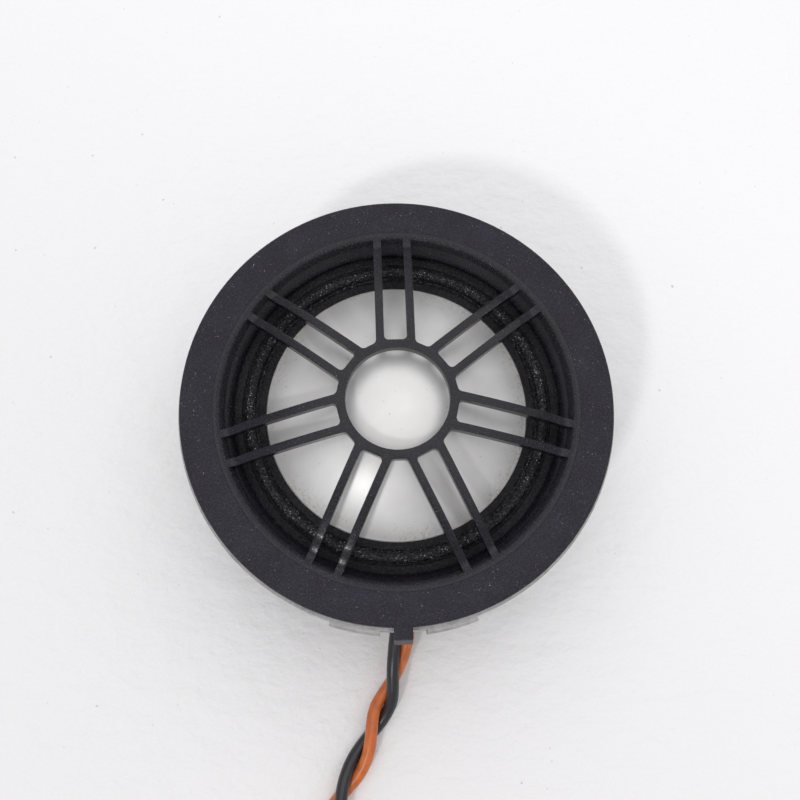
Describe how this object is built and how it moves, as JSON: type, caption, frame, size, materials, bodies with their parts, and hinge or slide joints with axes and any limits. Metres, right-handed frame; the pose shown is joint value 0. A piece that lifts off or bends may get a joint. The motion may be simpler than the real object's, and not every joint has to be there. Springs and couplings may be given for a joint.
{
  "type": "car tweeter",
  "caption": "Small round dome tweeter for a car: metal dome behind a protective spoked grille, cast mounting ring, closed rear cover and a short twisted two-wire lead with connector.",
  "frame": {"origin": "centre of the flat rear face of the rear cover, on the tweeter's axis", "axes": "+Z forward along the tweeter's axis, out of the grille; the lead leaves towards -Y; +X completes a right-handed frame"},
  "size_m": [0.0438, 0.1053, 0.0205],
  "materials": {
    "black_moulding": "fine sparked mould texture, charcoal black",
    "cast_ring": "raw pressure casting, dull grey",
    "coated_cloth": "cloth formed and soaked in a black damping coat, grainy",
    "dome_metal": "satin, fine brushed, slightly stained near the rim",
    "former_film": "amber film",
    "copper": "lacquered copper wire",
    "zinc_steel": "zinc plated steel",
    "magnet_nickel": "nickel plated",
    "damping_foam": "open cell foam",
    "screw_steel": "black zinc plated",
    "board_laminate": "brown paper laminate",
    "tag_metal": "tinned brass",
    "rivet_brass": "plain brass",
    "solder": "tin solder, bright",
    "orange_insulation": "smooth extruded insulation",
    "black_insulation": "smooth extruded insulation",
    "relief_rubber": "matt moulded rubber",
    "tie_nylon": "black nylon",
    "connector_nylon": "black glass-filled nylon",
    "contact_tin": "tin plated",
    "lock_nylon": "grey nylon"
  },
  "bodies": {
    "housing": {"front_flange": "black_moulding", "grille": "black_moulding", "mounting_ring": "cast_ring", "surround": "coated_cloth", "top_plate": "zinc_steel", "magnet": "magnet_nickel", "yoke_cup": "zinc_steel", "damping_pad": "damping_foam", "rear_cover": "black_moulding", "cover_screws": "screw_steel", "terminal_board": "board_laminate", "terminal_tag_plus": "tag_metal", "terminal_tag_minus": "tag_metal", "board_rivets": "rivet_brass", "lead_out_plus": "copper", "lead_out_minus": "copper", "solder_joints": "solder", "strain_relief": "relief_rubber", "inner_wire_orange": "orange_insulation", "inner_wire_black": "black_insulation", "wire_pair": "orange_insulation", "wire_coil": "orange_insulation", "wire_end": "orange_insulation", "coil_tie": "tie_nylon", "connector_housing": "connector_nylon", "connector_contacts": "contact_tin", "connector_lock": "lock_nylon"},
    "diaphragm": {"dome": "dome_metal", "voice_coil_former": "former_film", "voice_coil_winding": "copper"}
  },
  "joints": [
    {"name": "diaphragm_travel", "type": "slide", "parent": "housing", "child": "diaphragm", "axis": [0, 0, 1], "range_m": [-0.0004, 0.0004], "stiffness_N_per_m": 2000, "deforming": ["surround", "lead_out_plus", "lead_out_minus"]}
  ]
}
